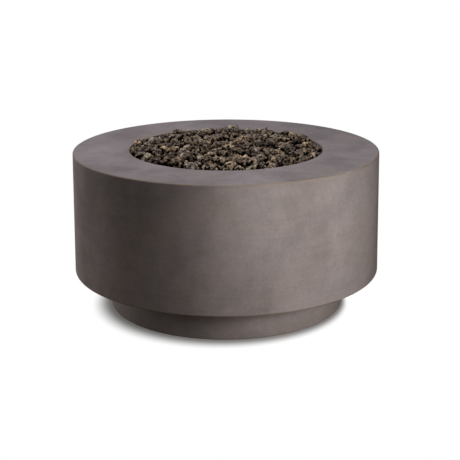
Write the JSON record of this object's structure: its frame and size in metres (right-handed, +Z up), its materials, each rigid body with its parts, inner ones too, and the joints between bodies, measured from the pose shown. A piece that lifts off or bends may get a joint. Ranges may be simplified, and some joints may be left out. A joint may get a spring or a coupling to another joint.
{
  "type": "gas fire bowl",
  "caption": "Wide round concrete fire bowl on a recessed round plinth, filled with lava rock over a gas ring burner, with a key valve on the rear wall.",
  "frame": {"origin": "on the floor under the centre of the drum, in the plane of the plinth's bottom ring", "axes": "+Z up, -Y towards the front that the picture shows, +Y towards the key valve in the rear wall, +X to the right"},
  "size_m": [0.9266, 0.9631, 0.4847],
  "materials": {
    "concrete": "matte",
    "lava": "matte",
    "stainless": "satin",
    "zinc_steel": "satin",
    "brass": "satin",
    "chrome": "polished",
    "rubber": "matte",
    "gasket": "matte"
  },
  "bodies": {
    "fire_bowl": {"concrete_bowl": "concrete", "concrete_plinth": "concrete", "setting_pads": "rubber", "wall_inserts": "zinc_steel", "plinth_bolts": "zinc_steel", "plinth_washers": "zinc_steel", "burner_pan": "stainless", "burner_outer_ring": "stainless", "burner_inner_ring": "stainless", "burner_spokes": "stainless", "burner_hub": "stainless", "burner_standoffs": "stainless", "hub_gasket": "gasket", "hub_washer": "zinc_steel", "hub_locknut": "brass", "gas_nipple": "zinc_steel", "air_mixer": "brass", "gas_orifice": "brass", "mixer_elbow": "brass", "gas_tube": "stainless", "burner_tube_nut": "brass", "valve_tube_nut": "brass", "valve_body": "brass", "valve_outlet": "brass", "valve_inlet": "brass", "stem_seals": "rubber", "packing_nut": "brass", "wall_sleeve": "zinc_steel", "sleeve_nut": "zinc_steel", "escutcheon": "chrome", "lava_bed": "lava", "lava_rocks": "lava"},
    "shutter": {"air_shutter": "stainless", "shutter_screw": "brass"},
    "plug": {"valve_plug": "brass"},
    "key": {"valve_key": "chrome"}
  },
  "joints": [
    {"name": "shutter_turn", "type": "hinge", "parent": "fire_bowl", "child": "shutter", "pos_m": [0, 0, 0.3275], "axis": [0, 0, 1], "range_deg": [0, 90]},
    {"name": "plug_turn", "type": "hinge", "parent": "fire_bowl", "child": "plug", "pos_m": [0, 0.384, 0.2455], "axis": [0, 1, 0], "range_deg": [0, 90]},
    {"name": "key_pull", "type": "slide", "parent": "plug", "child": "key", "axis": [0, 1, 0], "range_m": [0, 0.05]}
  ]
}
